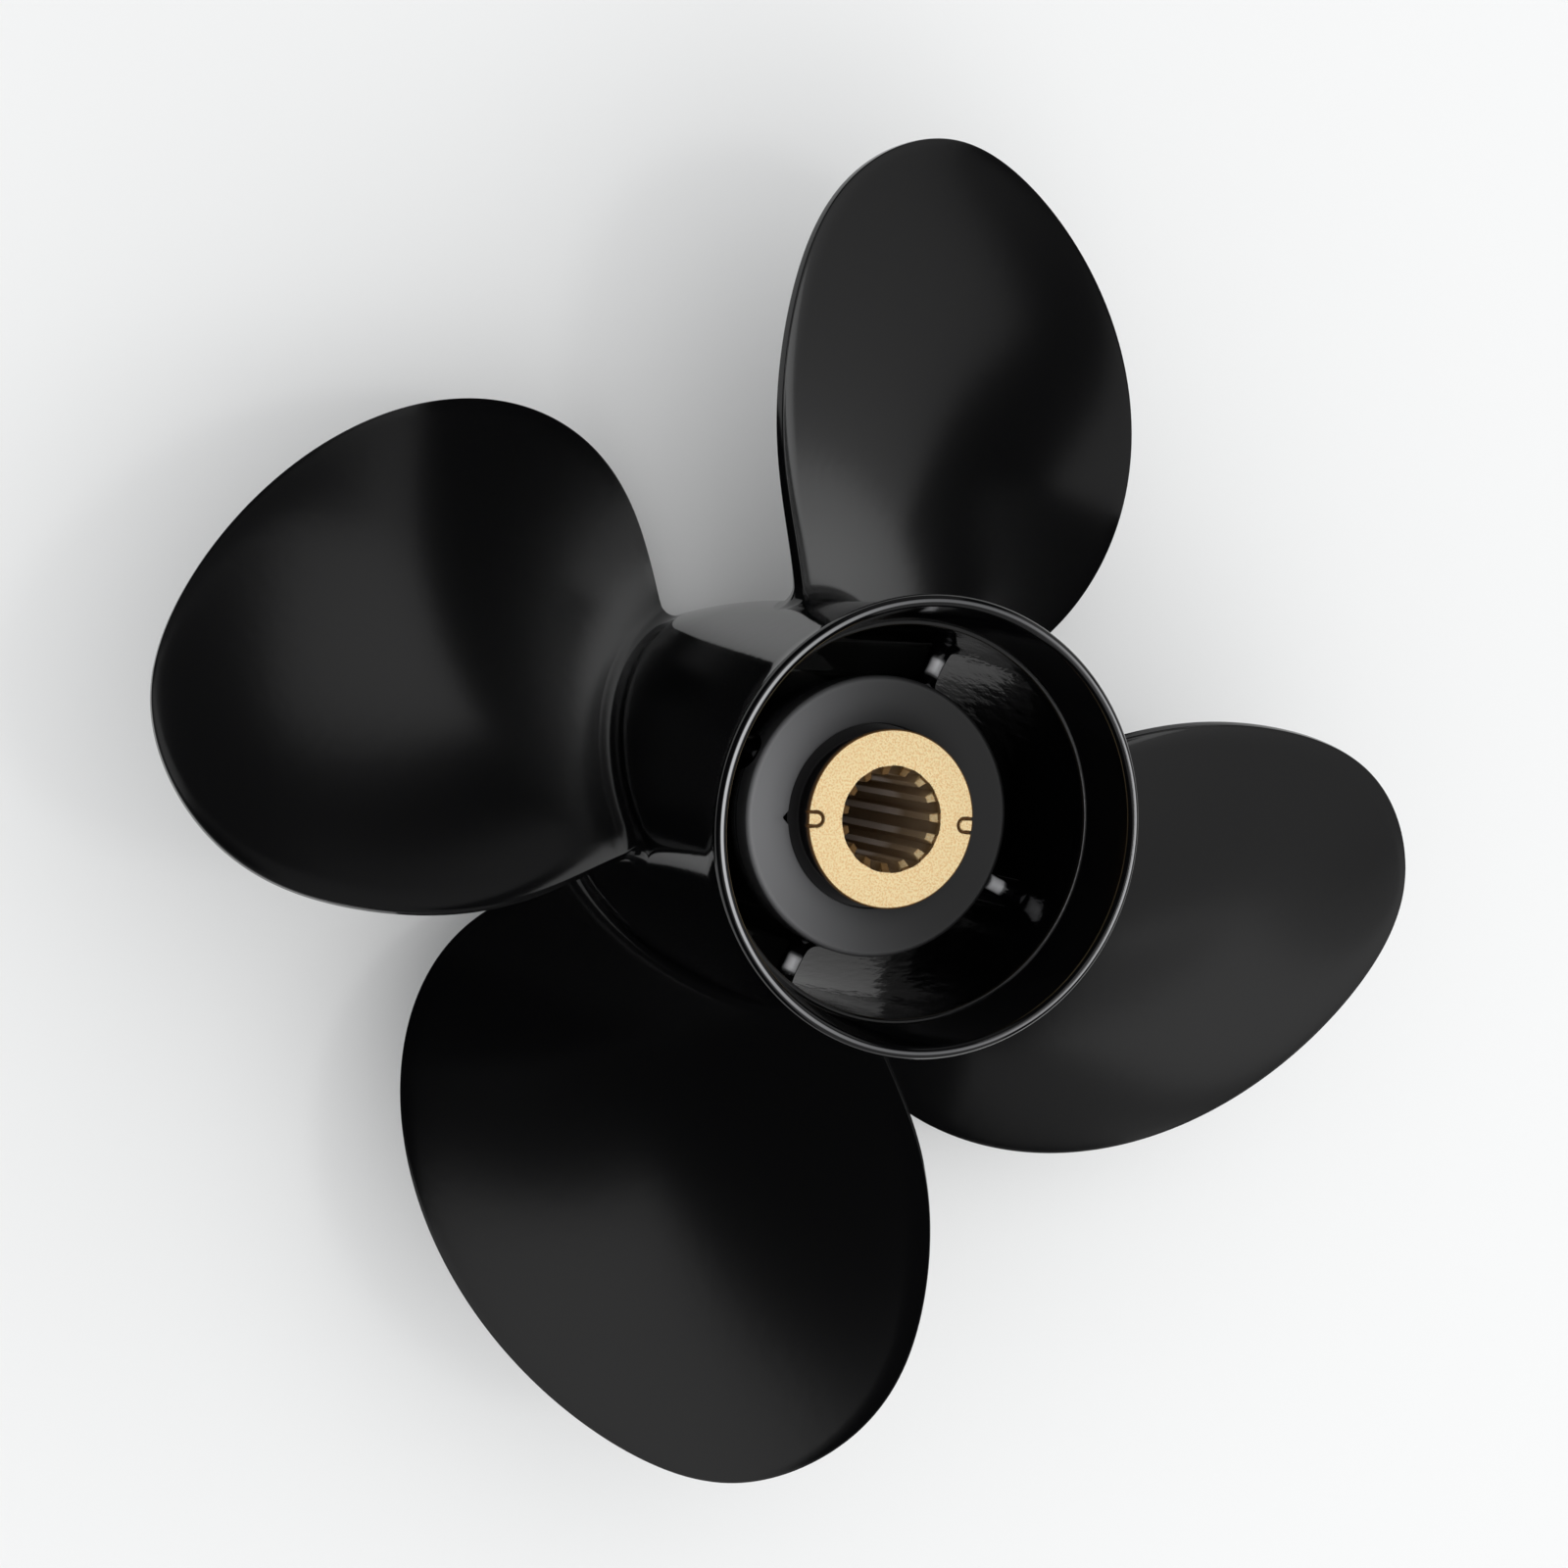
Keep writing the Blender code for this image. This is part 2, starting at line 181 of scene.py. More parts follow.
# %% [markdown]
# An effect that several finishes share is a shader group: a small tree of nodes with named inputs
# and outputs, built once. Three helpers make one: the empty group, a noise texture and a Math
# node. They could be laid out by hand in the shader editor, but as code they are read in order.


# %% Group helpers
def new_group(name, inputs, outputs):
    """An empty shader group with float or vector sockets; returns it with its two end nodes."""
    group = bpy.data.node_groups.new(name, "ShaderNodeTree")
    for label, value in inputs.items():
        kind = "NodeSocketVector" if value is None else "NodeSocketFloat"
        socket = group.interface.new_socket(label, in_out="INPUT", socket_type=kind)
        if value is not None:
            socket.default_value = value
    for label in outputs:
        group.interface.new_socket(label, in_out="OUTPUT", socket_type="NodeSocketFloat")
    start = group.nodes.new("NodeGroupInput")
    end = group.nodes.new("NodeGroupOutput")
    return group, start, end


def noise(tree, vector, scale, detail):
    """A noise texture of that many waves a metre."""
    node = tree.nodes.new("ShaderNodeTexNoise")
    node.inputs["Scale"].default_value = scale
    node.inputs["Detail"].default_value = detail
    tree.links.new(vector, node.inputs["Vector"])
    return node.outputs["Fac"]


def combine(tree, operation, first, second):
    """A Math node of two values, each a socket or a number."""
    node = tree.nodes.new("ShaderNodeMath")
    node.operation = operation
    for socket, value in zip(node.inputs, (first, second)):
        if isinstance(value, (int, float)):
            socket.default_value = value
        else:
            tree.links.new(value, socket)
    return node.outputs[0]


print("helpers: new_group, noise, combine")

# %% [markdown]
# Paint isn't perfectly flat. Sprayed gloss has orange peel, a very low swell a few millimetres
# long, and the sand-cast metal under it shows as finer pits. Both are noise read in object space,
# so they stay put on the casting. A photograph of paint could be wrapped on instead, but noise has
# no seams. The group gives both as one height, and the fine noise alone as a mask.


# %% Cast paint
def make_cast_paint_group():
    """Height = swell amount x slow noise + pit amount x fine noise; the mask is the fine noise."""
    inputs = {"Vector": None, "Swell": 1.0, "Pits": 0.2}
    group, start, end = new_group("cast_paint", inputs, ["Height", "Grain"])
    slow = noise(group, start.outputs["Vector"], 260, 1)
    fine = noise(group, start.outputs["Vector"], 1900, 3)
    swell = combine(group, "MULTIPLY", slow, start.outputs["Swell"])
    pits = combine(group, "MULTIPLY", fine, start.outputs["Pits"])
    group.links.new(combine(group, "ADD", swell, pits), end.inputs["Height"])
    group.links.new(fine, end.inputs["Grain"])
    return group


cast_paint = make_cast_paint_group()
print("cast_paint sockets:", [item.name for item in cast_paint.interface.items_tree])

# %% [markdown]
# A material is one Principled BSDF, whose constants are set on its own sockets. The paints, the
# rubber and the brass all start this way. The shared group is placed beside the shader and reads
# the place of each point on the piece.


# %% New materials
def new_material(name, colour, roughness, metallic=0.0, specular=0.5):
    """A material with those constants; returned with its node tree and its shader."""
    material = bpy.data.materials.new(name)
    material.use_nodes = True
    shader = material.node_tree.nodes["Principled BSDF"]
    shader.inputs["Base Color"].default_value = (*colour, 1.0)
    shader.inputs["Roughness"].default_value = roughness
    shader.inputs["Metallic"].default_value = metallic
    shader.inputs["Specular IOR Level"].default_value = specular
    return material, material.node_tree, shader


def add_group(tree, group, **values):
    """The group in a material's tree, with its own values, reading object space."""
    node = tree.nodes.new("ShaderNodeGroup")
    node.node_tree = group
    place = tree.nodes.new("ShaderNodeTexCoord")
    tree.links.new(place.outputs["Object"], node.inputs["Vector"])
    for label, value in values.items():
        node.inputs[label].default_value = value
    return node


print("helpers: new_material, add_group")

# %% [markdown]
# What changes over a surface is joined to the shader by a few links: a bump that follows a height,
# and a value or a colour that follows a mask. Masks could be painted or baked to an image, but a
# number stored at each point needs no unwrapping and stays sharp in a close view.


# %% Links that follow a mask
def add_bump(tree, shader, height, distance):
    """Tilts the shader's normal as if the surface rose by height x distance, in metres."""
    bump = tree.nodes.new("ShaderNodeBump")
    bump.inputs["Distance"].default_value = distance
    tree.links.new(height, bump.inputs["Height"])
    tree.links.new(bump.outputs["Normal"], shader.inputs["Normal"])


def blend_by(tree, factor, low, high):
    """A value that runs from low to high as the factor runs from 0 to 1."""
    node = tree.nodes.new("ShaderNodeMapRange")
    node.inputs["To Min"].default_value = low
    node.inputs["To Max"].default_value = high
    tree.links.new(factor, node.inputs["Value"])
    return node.outputs["Result"]


def mix_colours(tree, factor, first, second):
    """The first colour, a constant or a socket, where the factor is 0; the second where it is 1."""
    node = tree.nodes.new("ShaderNodeMix")
    node.data_type = "RGBA"
    start, end = [socket for socket in node.inputs if socket.type == "RGBA"]
    if isinstance(first, tuple):
        start.default_value = (*first, 1.0)
    else:
        tree.links.new(first, start)
    end.default_value = (*second, 1.0)
    tree.links.new(factor, node.inputs[0])
    return next(socket for socket in node.outputs if socket.type == "RGBA")


def mask_of(tree, name):
    """The number that the skin stores at its points under that name."""
    node = tree.nodes.new("ShaderNodeAttribute")
    node.attribute_name = name
    return node.outputs["Fac"]


print("helpers: add_bump, blend_by, mix_colours, mask_of")

# %% [markdown]
# The barrel, the ring, the hub and the ribs are sprayed in deep gloss black, and the blades in the
# same black with a satin sheen. On the lip's crest, the hub's aft face and the ribs' ends one mask
# paints a light metal grey into the black: painted highlights on the crest and the rib ends, and a
# painted lit side on the hub's face. Another mask takes away the gloss there, so the two can
# differ.
# Deep in the passages the paint has run, and a third mask lets a drawn-out noise wrinkle the gloss
# there.

# %% Paints
GLOSS_BLACK = (0.0012, 0.0012, 0.0014)
SATIN_BLACK = (0.0016, 0.0016, 0.0018)
PAINTED_LIGHT_GREY = (0.56, 0.56, 0.57)
GLOSS_ROUGHNESS = 0.08
MATT_ROUGHNESS = 0.5
PEEL_DEPTH = 0.02 * MM
RUNS_OVER_PEEL = 6.0  # the runs' depth, in depths of the orange peel


def paint_runs(tree):
    """Noise drawn out along the shaft, times the mask of where the paint has run."""
    place = tree.nodes.new("ShaderNodeTexCoord")
    stretch = tree.nodes.new("ShaderNodeMapping")
    stretch.inputs["Scale"].default_value = (1.0, 1.0, 0.4)
    tree.links.new(place.outputs["Object"], stretch.inputs["Vector"])
    waves = noise(tree, stretch.outputs["Vector"], 330, 2)
    return combine(tree, "MULTIPLY", waves, mask_of(tree, "runs"))


def make_gloss_paint():
    """Deep gloss, with a light metal grey painted in where the mask is set, as painted light."""
    material, tree, shader = new_material("gloss_black_paint", GLOSS_BLACK, GLOSS_ROUGHNESS)
    cast = add_group(tree, cast_paint, Swell=1.0, Pits=0.06)
    runs = combine(tree, "MULTIPLY", paint_runs(tree), RUNS_OVER_PEEL)
    add_bump(tree, shader, combine(tree, "ADD", cast.outputs["Height"], runs), PEEL_DEPTH)
    # Painted light: a light metal grey, a little metallic, mixed into the black by this mask.
    painted_light = mask_of(tree, "painted_light")
    lit_colour = mix_colours(tree, painted_light, GLOSS_BLACK, PAINTED_LIGHT_GREY)
    tree.links.new(lit_colour, shader.inputs["Base Color"])
    tree.links.new(blend_by(tree, painted_light, 0.0, 0.3), shader.inputs["Metallic"])
    rough = blend_by(tree, mask_of(tree, "matt"), GLOSS_ROUGHNESS, MATT_ROUGHNESS)
    tree.links.new(rough, shader.inputs["Roughness"])
    return material


def make_satin_paint():
    """Satin black, a little glossier where the mask marks a blade's edges."""
    material, tree, shader = new_material("satin_black_paint", SATIN_BLACK, 0.2)
    cast = add_group(tree, cast_paint, Swell=0.5, Pits=0.1)
    add_bump(tree, shader, cast.outputs["Height"], PEEL_DEPTH)
    rough = blend_by(tree, mask_of(tree, "edge"), 0.19, 0.12)
    tree.links.new(rough, shader.inputs["Roughness"])
    return material


gloss_paint = make_gloss_paint()
satin_paint = make_satin_paint()
print("paints:", gloss_paint.name, "and", satin_paint.name)

# %% [markdown]
# The bushing is moulded rubber with a dry, faintly pitted skin. It takes the same group as the
# paint, with less swell and more pits.


# %% Rubber
def make_rubber():
    """Near black and half rough, with fine pits."""
    material, tree, shader = new_material("black_rubber", (0.012, 0.011, 0.012), 0.5)
    cast = add_group(tree, cast_paint, Swell=0.5, Pits=0.6)
    add_bump(tree, shader, cast.outputs["Height"], 0.03 * MM)
    return material


rubber = make_rubber()
print("rubber:", rubber.name)

# %% [markdown]
# The sleeve is cast brass, speckled on its face. Three more tones are painted in as light and
# shade:
# a darker brown down the broached spline as painted shade, a pale tint on the teeth deep inside as
# painted highlight, and dark brown along the edges, in the grooves and between the teeth as painted
# shade. The speckle is the group's fine noise. The other changes follow the shape, so each is a
# mask on the skin and not a texture laid over it.

# %% Brass
BRASS_PALE = (1.0, 0.80, 0.45)
BRASS_WARM = (0.90, 0.60, 0.28)
BRASS_BORE_SHADE = (0.44, 0.32, 0.20)
BRASS_TIP_HIGHLIGHT = (0.95, 0.86, 0.78)
BRASS_GROOVE_SHADE = (0.12, 0.048, 0.004)
SPECKLE_STRETCH = (-2.4, 3.1)  # pulls the noise, which keeps near 0.5, apart into specks


def make_brass():
    """Speckled brass; painted shade in the bore and grooves, painted highlight on deep tips."""
    material, tree, shader = new_material("cast_brass", BRASS_PALE, 0.42, 0.35)
    cast = add_group(tree, cast_paint, Swell=0.3, Pits=1.0)
    add_bump(tree, shader, cast.outputs["Height"], 0.2 * MM)
    speckle = blend_by(tree, cast.outputs["Grain"], *SPECKLE_STRETCH)
    colour = mix_colours(tree, speckle, BRASS_PALE, BRASS_WARM)
    # Painted light and shade: shade down the bore, highlight on deep tips, shade in grooves and
    # edges.
    for mask, tint in (("bore", BRASS_BORE_SHADE), ("tip_highlight", BRASS_TIP_HIGHLIGHT), ("groove_shade", BRASS_GROOVE_SHADE)):
        colour = mix_colours(tree, mask_of(tree, mask), colour, tint)
    tree.links.new(colour, shader.inputs["Base Color"])
    return material


brass = make_brass()
print("brass:", brass.name)

# %% [markdown]
# The barrel, the hub tube, the bushing and the sleeve are all turned forms. Each could be a Screw
# modifier on a drawn line, but a grid gives exact corner rounds and a mask for every point. So a
# profile is a list of arcs and straight runs of (radius, height), and one function turns it.


# %% Turned skins
def arc(centre, radius, start, end, count):
    """Points (radius, height) on a round corner, from one angle to another, in degrees."""
    turn = np.radians(np.linspace(start, end, count))
    return np.stack([centre[0] + radius * np.cos(turn), centre[1] + radius * np.sin(turn)], -1)


def run(start, end, count=2):
    """Points (radius, height) on a straight run, both ends included."""
    share = np.linspace(0.0, 1.0, count)[:, None]
    return np.array(start) * (1 - share) + np.array(end) * share


def smooth_step(value, low, high):
    """0 below low, 1 above high, with an even start and stop in between."""
    share = np.clip((value - low) / (high - low), 0.0, 1.0)
    return share * share * (3 - 2 * share)


def around_shaft(radius, turn, height):
    """Points at those radii and turns about the shaft axis, and at those heights."""
    return np.stack([radius * np.cos(turn), radius * np.sin(turn), height], axis=-1)


def turn_profile(profile, steps):
    """Grid of a profile of (radius, height) turned about the shaft axis."""
    turn = np.linspace(0.0, 2 * np.pi, steps, endpoint=False)[None, :]
    return around_shaft(profile[:, 0][:, None], turn, profile[:, 1][:, None] + 0 * turn)


def from_axis(grid):
    """Each point's distance from the shaft axis."""
    return np.hypot(grid[..., 0], grid[..., 1])


def turn_of(grid):
    """Each point's angle about the shaft axis, in radians."""
    return np.arctan2(grid[..., 1], grid[..., 0])


print("a quarter round of 1 mm in three points:", arc((0, 0), 1, 0, 90, 3).round(2).tolist())

# %% [markdown]
# The barrel carries the blades and lets the engine's exhaust out through its middle. Its trailing
# end flares into a ring with a rolled lip, and inside the ring a small shoulder steps in to the
# bore. On the real casting all of it is one wall, so one closed profile runs right round it. The
# flare is a parabola, and the lip is a round bead that takes a thin, bright line of light.

# %% Barrel outline
BARREL_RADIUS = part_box("exhaust_barrel")[1].x
BARREL_FORE_RADIUS = 51.8 * MM
TAPER_END = 50 * MM
BORE_RADIUS = 48.8 * MM
RING_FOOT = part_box("flared_ring")[0].z
FLARE_FOOT = 134 * MM
FLARE_RISE = 1.7 * MM
LIP_RADIUS = 54.8 * MM
LIP_BEAD = 1.6 * MM
SHOULDER_STEP = 1.0 * MM  # from the ring's throat in to the bore
THROAT_HOLLOW = 0.25 * MM


def barrel_radius(height):
    """Outer radius: straight, less a taper in the fore third that grows with the square."""
    taper = np.clip(1.0 - height / TAPER_END, 0.0, 1.0)
    return BARREL_RADIUS - (BARREL_RADIUS - BARREL_FORE_RADIUS) * taper**2


def barrel_profile():
    """Down the outside, round the fore rim, up the bore, over the shoulder and round the lip."""
    bead = (LIP_RADIUS, LENGTH - LIP_BEAD)
    lip = arc(bead, LIP_BEAD, 155, -8, 56)
    share = np.linspace(0.93, 0.0, 24)
    flare_height = FLARE_FOOT + (bead[1] - FLARE_FOOT) * share
    flare = np.stack([BARREL_RADIUS + FLARE_RISE * share**2, flare_height], -1)
    height = np.concatenate([np.linspace(132, 52, 9), np.linspace(48, 2.4, 20)]) * MM
    outside = np.stack([barrel_radius(height), height], -1)
    outer_round = arc((BARREL_FORE_RADIUS - CAST_ROUND, CAST_ROUND), CAST_ROUND, 0, -90, 9)
    edge = 0.6 * MM
    inner_round = arc((BORE_RADIUS + edge, edge), edge, -90, -180, 7)
    bore = run((BORE_RADIUS, 2 * MM), (BORE_RADIUS, RING_FOOT - 1.2 * MM), 40)
    ledge = 0.55 * MM
    ridge = arc((BORE_RADIUS + ledge, RING_FOOT - ledge), ledge, 180, 90, 9)
    throat = run((BORE_RADIUS + SHOULDER_STEP, RING_FOOT), lip[0], 30)
    throat[:, 0] += THROAT_HOLLOW * np.sin(np.linspace(0, np.pi, 30))
    throat = throat[:-1]
    return np.concatenate([lip, flare, outside, outer_round, inner_round, bore, ridge, throat])


print(f"barrel radius {BARREL_RADIUS:.4f} m, ring from {RING_FOOT:.4f} m up")

# %% [markdown]
# A mask along the lip's crest paints a bright line of light grey into the paint there: a painted
# highlight. It is worked out from each point's height and side, strongest on two opposite sides and
# faint between them. Another mask marks the bore, where paint runs.


# %% Barrel and ring
def lip_highlight(grid):
    """Painted highlight: crest x (0.15 + 0.55 x side share squared); on the right only its outer
    half.
    """
    crest = smooth_step(grid[..., 2], LENGTH - 0.07 * MM, LENGTH - 0.01 * MM)
    to_right = grid[..., 0] / LIP_RADIUS
    from_bead = from_axis(grid) - LIP_RADIUS
    outer_half = smooth_step(from_bead, -0.15 * MM, 0.05 * MM)
    kept = 1 - np.clip(to_right, 0, 1) * (1 - outer_half)
    return crest * kept * (0.15 + 0.55 * to_right**2)


def bore_runs(grid):
    """1 on the bore's wall from 4 mm below the shoulder down, 0 on the rest of the casting."""
    in_bore = from_axis(grid) < BORE_RADIUS + 0.1 * MM
    return in_bore * smooth_step(RING_FOOT - grid[..., 2], 1 * MM, 4 * MM)


barrel_grid = turn_profile(barrel_profile(), 360)
# Painted highlight along the lip's crest.
lip_light = lip_highlight(barrel_grid)
barrel_masks = {"painted_light": lip_light, "matt": lip_light, "runs": bore_runs(barrel_grid)}
barrel = skin("barrel_and_ring", barrel_grid, wrap_rows=True, masks=barrel_masks)
stands_for(barrel, "gloss_black_paint", gloss_paint, "exhaust_barrel", "flared_ring")

# %% [markdown]
# The hub tube stands inside the barrel and holds the rubber bushing. Its aft end is a shallow
# dish: the face falls from a rounded rim to the mouth. One closed profile gives the face, both
# walls and the fore end, as it did for the barrel.

# %% Hub outline
HUB_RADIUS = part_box("inner_hub")[1].x
HUB_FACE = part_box("inner_hub")[1].z
HUB_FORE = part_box("inner_hub")[0].z
HUB_MOUTH_RADIUS = 23.6 * MM
HUB_MOUTH_DEPTH = 8 * MM
HUB_DISH_DEPTH = 2.7 * MM
HUB_BORE_RADIUS = 30 * MM


def hub_profile():
    """From the mouth up the dished face, round the rim, down the outside and up the bore."""
    edge = 0.35 * MM
    dish = HUB_FACE - HUB_DISH_DEPTH
    under = HUB_FACE - HUB_MOUTH_DEPTH
    mouth_edge = arc((HUB_MOUTH_RADIUS + edge, dish - edge), edge, 180, 104, 6)
    rim = arc((HUB_RADIUS - CAST_ROUND, HUB_FACE - CAST_ROUND), CAST_ROUND, 104, 0, 12)
    face = run(mouth_edge[-1], rim[0], 14)[1:-1]
    side = run((HUB_RADIUS, HUB_FACE - 2 * MM), (HUB_RADIUS, HUB_FORE + 2 * MM), 12)
    fore = arc((HUB_RADIUS - CAST_ROUND, HUB_FORE + CAST_ROUND), CAST_ROUND, 0, -90, 7)
    bore = run((HUB_BORE_RADIUS, HUB_FORE), (HUB_BORE_RADIUS, under), 3)
    mouth = run((HUB_MOUTH_RADIUS, under), (HUB_MOUTH_RADIUS, dish - 1 * MM), 8)
    return np.concatenate([mouth_edge, face, rim, side, fore, bore, mouth])


print(f"hub face at {HUB_FACE:.4f} m, mouth radius {HUB_MOUTH_RADIUS:.4f} m")

# %% [markdown]
# The mouth has a small V cut in its edge. It is made by moving the mouth's own points outwards, and
# so needs no Boolean. One mask makes the face duller than the walls. Another paints light grey into
# the face, strongest towards one side: a painted lit side.

# %% Hub tube
NOTCH_ANGLE = 187
NOTCH_HALF_WIDTH = 4.2
NOTCH_DEPTH = 1.5 * MM
LIT_SIDE_ANGLE = 190
LEAST_PAINTED_LIGHT = 0.01
ADDED_PAINTED_LIGHT = 0.36


def cut_notch(grid):
    """Push the mouth's wall outwards where a V of that width and depth lies in its edge."""
    turn = np.degrees(turn_of(grid)) % 360
    radius = from_axis(grid)
    vee = NOTCH_DEPTH * np.clip(1 - np.abs(turn - NOTCH_ANGLE) / NOTCH_HALF_WIDTH, 0, 1)
    near = np.clip(1 - (radius - HUB_MOUTH_RADIUS) / (4 * MM), 0, 1)
    high = np.clip((grid[..., 2] - HUB_FACE + HUB_MOUTH_DEPTH) / MM + 1, 0, 1)
    scale = 1 + vee * near * high / radius
    grid[..., :2] *= scale[..., None]
    return grid


hub_grid = cut_notch(turn_profile(hub_profile(), 480))
on_face = hub_grid[..., 2] > HUB_FACE - HUB_DISH_DEPTH - 0.3 * MM
# Painted light: grey painted into the face, strongest towards one side, as a painted lit side.
towards_left = (1 + np.cos(turn_of(hub_grid) - math.radians(LIT_SIDE_ANGLE))) / 2
painted_light = on_face * (LEAST_PAINTED_LIGHT + ADDED_PAINTED_LIGHT * towards_left**2.5)
hub = skin("hub_tube", hub_grid, wrap_rows=True, masks={"painted_light": painted_light, "matt": on_face})
stands_for(hub, "gloss_black_paint", gloss_paint, "inner_hub")

# %% [markdown]
# Wherever a web or a blade runs into a wall, the casting has a fillet. A skin gets one by growing
# sideways in its lowest rows, by the gap that a quarter round leaves to the wall. That keeps the
# piece one grid, where a Boolean and a bevel would leave thin, pinched faces.


# %% Fillets
def fillet_spread(distance, size):
    """How far a round of that size stands out at a distance from the wall it runs into."""
    left = np.clip(size - distance, 0.0, size)
    return size - np.sqrt(size**2 - left**2)


print("spread of a 2 mm fillet at 0, 1 and 2 mm:", fillet_spread(np.array([0, 1, 2]), 2).round(2))

# %% [markdown]
# Four ribs join the hub tube to the barrel and leave the exhaust its passages. A rib is a flat web
# with round ends, and it swells into both walls with fillets. A box with bevels wouldn't meet the
# curved walls, so a stadium outline is carried from the hub to the barrel instead, each row on its
# own cylinder. At the aft end the fillets are wider, which turns the end into a small saddle.

# %% Rib outline
RIB_ANGLE = 70
RIB_THICKNESS = 5.2 * MM
RIB_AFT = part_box("rib_1")[1].z
RIB_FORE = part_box("rib_1")[0].z
RIB_FILLET = 2.4 * MM
RIB_SADDLE = 6.0 * MM
RIB_SINK = 0.4 * MM


def rib_grid(number):
    """A stadium outline (sides and two round ends) carried from the hub to the barrel.

    Columns go round the outline; rows go out along the radius. Near both walls the outline
    grows by a quarter round, which is larger at the aft end, so that the end is a saddle.
    Each row lies on a cylinder about the shaft axis.
    """
    inner = HUB_RADIUS
    outer = BORE_RADIUS
    radius = np.concatenate([
        [inner - RIB_SINK],
        inner + RIB_SADDLE * (1 - np.cos(np.linspace(0, np.pi / 2, 16))),
        outer - RIB_SADDLE * (1 - np.cos(np.linspace(np.pi / 2, 0, 16))),
        [outer + RIB_SINK],
    ])[:, None]
    spread = fillet_spread(radius - inner, RIB_FILLET) + fillet_spread(outer - radius, RIB_FILLET)
    saddle = fillet_spread(radius - inner, RIB_SADDLE) + fillet_spread(outer - radius, RIB_SADDLE)
    half = RIB_THICKNESS / 2
    end = arc((0, RIB_AFT - half), half, 0, 180, 25)
    foot = arc((0, RIB_FORE + half), half, 180, 360, 13)
    up = np.concatenate([end[:, 1], foot[:, 1]])[None, :]
    across = np.concatenate([end[:, 0], foot[:, 0]])[None, :]
    middle = np.clip(up, RIB_FORE + half, RIB_AFT - half)
    out_across = across / half
    out_up = (up - middle) / half
    wide = across + out_across * spread
    high = up + out_up * np.where(out_up > 0, saddle, spread)
    turn = np.radians(RIB_ANGLE + 360 / BLADES * number) + np.arcsin(wide / radius)
    return around_shaft(radius, turn, high)


print("rib rows and columns:", rib_grid(0).shape[:2])

# %% [markdown]
# The rib's skin is closed inside the two walls, where nobody sees it. Half-way along its aft end a
# mask paints a small bright spot of light grey: a painted highlight. The four ribs are the same
# grid, turned by a quarter turn each.


# %% Ribs
def close_ends(grid):
    """Add a row at each end where the outline falls together, so that the skin is closed."""
    first = np.broadcast_to(grid[0].mean(axis=0), grid[0].shape)
    last = np.broadcast_to(grid[-1].mean(axis=0), grid[-1].shape)
    return np.concatenate([first[None], grid, last[None]])


def rib_end_highlight(grid):
    """Painted highlight: 1 half-way along the aft end, fading out towards both walls and down the
    end.
    """
    from_middle = np.abs(from_axis(grid) - (HUB_RADIUS + BORE_RADIUS) / 2)
    high = smooth_step(grid[..., 2], RIB_AFT - 1.1 * MM, RIB_AFT - 0.3 * MM)
    return high * (1 - smooth_step(from_middle, 1.3 * MM, 2.6 * MM))


for number in range(BLADES):
    grid = close_ends(rib_grid(number))
    # Painted highlight: a small bright spot on each rib's end.
    painted_spot = rib_end_highlight(grid)
    rib = skin(f"rib_web_{number + 1}", grid, wrap_rows=False, masks={"painted_light": painted_spot, "matt": painted_spot})
    stands_for(rib, "gloss_black_paint", gloss_paint, f"rib_{number + 1}")

# %% [markdown]
# The rubber bushing is pressed into the hub tube and lets go of the shaft when a blade strikes
# something. Only its floor in the hub's mouth and the collar round the brass can be seen. It is
# turned whole all the same, so that it looks right from the fore end too.

# %% Bushing
COLLAR_RADIUS = 20.3 * MM
BUSHING_FLOOR = 109.7 * MM
COLLAR_TOP = 120.1 * MM


def bushing_profile():
    """Down the collar, out over the floor in the hub's mouth, and down the body."""
    edge = 0.5 * MM
    bore = 17.6 * MM
    body = HUB_BORE_RADIUS - 0.1 * MM
    mouth = HUB_MOUTH_RADIUS - 0.1 * MM
    shoulder = HUB_FACE - HUB_MOUTH_DEPTH - 0.1 * MM
    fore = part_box("rubber_bushing")[0].z
    collar = run((COLLAR_RADIUS, COLLAR_TOP), (COLLAR_RADIUS, BUSHING_FLOOR + 1.2 * MM), 10)
    corner = arc((COLLAR_RADIUS + edge, BUSHING_FLOOR + edge), edge, 180, 270, 6)
    floor = run((COLLAR_RADIUS + 1 * MM, BUSHING_FLOOR), (mouth, BUSHING_FLOOR), 4)
    neck = run((mouth, BUSHING_FLOOR - 0.2 * MM), (mouth, shoulder), 3)
    side = run((body, shoulder), (body, fore + 2 * MM), 6)
    foot = run((body - 2 * MM, fore), (bore, fore), 4)
    inside = run((bore, fore + 1 * MM), (bore, COLLAR_TOP), 6)
    return np.concatenate([collar, corner, floor, neck, side, foot, inside])


bushing = skin("rubber_bush", turn_profile(bushing_profile(), 240), wrap_rows=True, sharp=50)
stands_for(bushing, "black_rubber", rubber, "rubber_bushing")

# %% [markdown]
# The brass sleeve takes the splined shaft. It is turned like the hub, from a profile that goes up
# the bore, over a coned mouth and across the face. The bore is drawn at the teeth's tips here, and
# the grooves between the teeth are pushed out of it later.

# %% Sleeve outline
SLEEVE_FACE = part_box("splined_sleeve")[1].z
SLEEVE_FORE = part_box("splined_sleeve")[0].z
SLEEVE_RADIUS = 17.5 * MM
FLANGE_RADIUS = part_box("splined_sleeve")[1].x
SLEEVE_FORE_BORE = 14.4 * MM
SPLINE_TIP_RADIUS = 11.2 * MM
SPLINE_MOUTH_RADIUS = 13.15 * MM
SPLINE_MOUTH_DEPTH = 1.9 * MM
LUG_BAND_RADIUS = 17.7 * MM  # the lugs lie between this circle and the rim


